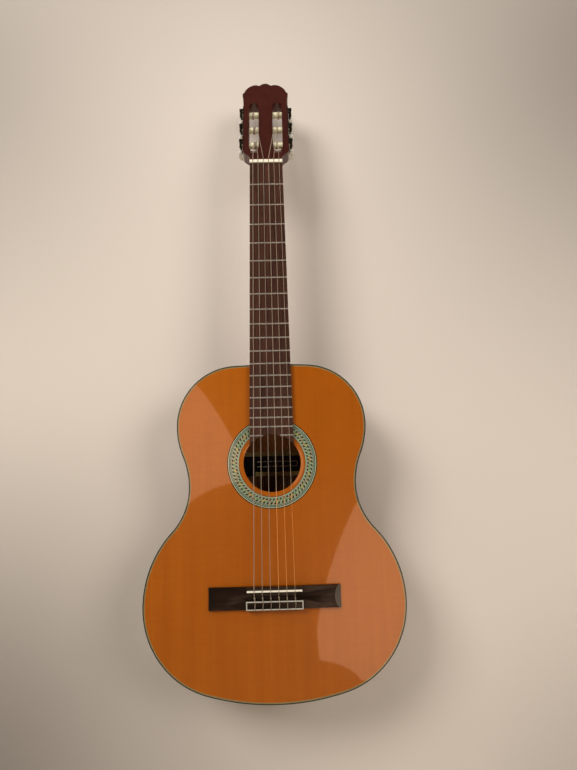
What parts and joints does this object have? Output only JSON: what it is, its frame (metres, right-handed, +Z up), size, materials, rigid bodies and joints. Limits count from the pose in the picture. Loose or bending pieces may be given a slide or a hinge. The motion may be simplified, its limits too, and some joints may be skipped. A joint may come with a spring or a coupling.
{
  "type": "classical guitar",
  "caption": "Full-size classical guitar with a domed-back soundbox, mosaic rosette, tied bridge, slotted head and geared tuning machines whose buttons turn the string rollers.",
  "frame": {"origin": "hanging seat: neck centre line at the fingerboard side of the nut, in the plane of the soundboard's face, level with the hanger yoke that holds the head's shoulders", "axes": "+Z up the neck towards the head, +X to the right seen from the front (treble side), -Y out of the soundboard towards the viewer"},
  "size_m": [0.3768, 0.1124, 0.985],
  "materials": {
    "soundboard_wood": "gloss",
    "body_wood": "gloss",
    "neck_wood": "gloss",
    "head_veneer": "gloss",
    "fingerboard_wood": "satin",
    "bridge_wood": "satin",
    "binding_wood": "gloss",
    "purfling_wood": "gloss",
    "rosette_mosaic": "gloss",
    "inner_wood": "matt",
    "label_paper": "matt",
    "bone": "satin",
    "fret_metal": "polished",
    "plate_metal": "polished",
    "screw_metal": "polished",
    "gear_metal": "polished",
    "worm_metal": "polished",
    "roller_plastic": "satin",
    "pearl_plastic": "pearl",
    "nylon": "clear",
    "wound_string": "wound"
  },
  "bodies": {
    "guitar": {"soundboard": "soundboard_wood", "rosette": "rosette_mosaic", "top_purfling": "purfling_wood", "bindings": "binding_wood", "back_panel": "body_wood", "tail_block": "inner_wood", "heel_cap": "binding_wood", "head_plate": "head_veneer", "neck": "neck_wood", "rib_treble": "body_wood", "rib_bass": "body_wood", "linings": "inner_wood", "top_braces": "inner_wood", "back_braces": "inner_wood", "label": "label_paper", "fingerboard": "fingerboard_wood", "frets": "fret_metal", "tie_block_frame": "bone", "bridge": "bridge_wood", "saddle": "bone", "nut": "bone", "plate_treble": "plate_metal", "plate_bass": "plate_metal", "plate_screws": "screw_metal", "string_1": "nylon", "string_2": "nylon", "string_3": "nylon", "string_4": "wound_string", "string_5": "wound_string", "string_6": "wound_string"},
    "knob_1": {"worm_shaft_1": "worm_metal", "button_1": "pearl_plastic"},
    "spool_1": {"roller_1": "roller_plastic", "gear_1": "gear_metal", "gear_screw_1": "screw_metal"},
    "knob_2": {"worm_shaft_2": "worm_metal", "button_2": "pearl_plastic"},
    "spool_2": {"roller_2": "roller_plastic", "gear_2": "gear_metal", "gear_screw_2": "screw_metal"},
    "knob_3": {"worm_shaft_3": "worm_metal", "button_3": "pearl_plastic"},
    "spool_3": {"roller_3": "roller_plastic", "gear_3": "gear_metal", "gear_screw_3": "screw_metal"},
    "knob_4": {"worm_shaft_4": "worm_metal", "button_4": "pearl_plastic"},
    "spool_4": {"roller_4": "roller_plastic", "gear_4": "gear_metal", "gear_screw_4": "screw_metal"},
    "knob_5": {"worm_shaft_5": "worm_metal", "button_5": "pearl_plastic"},
    "spool_5": {"roller_5": "roller_plastic", "gear_5": "gear_metal", "gear_screw_5": "screw_metal"},
    "knob_6": {"worm_shaft_6": "worm_metal", "button_6": "pearl_plastic"},
    "spool_6": {"roller_6": "roller_plastic", "gear_6": "gear_metal", "gear_screw_6": "screw_metal"}
  },
  "joints": [
    {"name": "knob_1_turn", "type": "hinge", "parent": "guitar", "child": "knob_1", "pos_m": [0.0412, 0.02015, 0.05219], "axis": [0, 0.9659, -0.2588], "continuous": true},
    {"name": "spool_1_turn", "type": "hinge", "parent": "guitar", "child": "spool_1", "pos_m": [0.02, 0.01821, 0.04495], "axis": [1, 0, 0], "continuous": true},
    {"name": "knob_2_turn", "type": "hinge", "parent": "guitar", "child": "knob_2", "pos_m": [0.0412, 0.02921, 0.086], "axis": [0, 0.9659, -0.2588], "continuous": true},
    {"name": "spool_2_turn", "type": "hinge", "parent": "guitar", "child": "spool_2", "pos_m": [0.02, 0.02727, 0.07876], "axis": [1, 0, 0], "continuous": true},
    {"name": "knob_3_turn", "type": "hinge", "parent": "guitar", "child": "knob_3", "pos_m": [0.0412, 0.03827, 0.11981], "axis": [0, 0.9659, -0.2588], "continuous": true},
    {"name": "spool_3_turn", "type": "hinge", "parent": "guitar", "child": "spool_3", "pos_m": [0.02, 0.03633, 0.11256], "axis": [1, 0, 0], "continuous": true},
    {"name": "knob_4_turn", "type": "hinge", "parent": "guitar", "child": "knob_4", "pos_m": [-0.0412, 0.03827, 0.11981], "axis": [0, 0.9659, -0.2588], "continuous": true},
    {"name": "spool_4_turn", "type": "hinge", "parent": "guitar", "child": "spool_4", "pos_m": [-0.02, 0.03633, 0.11256], "axis": [1, 0, 0], "continuous": true},
    {"name": "knob_5_turn", "type": "hinge", "parent": "guitar", "child": "knob_5", "pos_m": [-0.0412, 0.02921, 0.086], "axis": [0, 0.9659, -0.2588], "continuous": true},
    {"name": "spool_5_turn", "type": "hinge", "parent": "guitar", "child": "spool_5", "pos_m": [-0.02, 0.02727, 0.07876], "axis": [1, 0, 0], "continuous": true},
    {"name": "knob_6_turn", "type": "hinge", "parent": "guitar", "child": "knob_6", "pos_m": [-0.0412, 0.02015, 0.05219], "axis": [0, 0.9659, -0.2588], "continuous": true},
    {"name": "spool_6_turn", "type": "hinge", "parent": "guitar", "child": "spool_6", "pos_m": [-0.02, 0.01821, 0.04495], "axis": [1, 0, 0], "continuous": true}
  ],
  "couplings": [
    {"joint": "spool_1_turn", "follows": "knob_1_turn", "ratio": 0.0625},
    {"joint": "spool_2_turn", "follows": "knob_2_turn", "ratio": 0.0625},
    {"joint": "spool_3_turn", "follows": "knob_3_turn", "ratio": 0.0625},
    {"joint": "spool_4_turn", "follows": "knob_4_turn", "ratio": -0.0625},
    {"joint": "spool_5_turn", "follows": "knob_5_turn", "ratio": -0.0625},
    {"joint": "spool_6_turn", "follows": "knob_6_turn", "ratio": -0.0625}
  ]
}
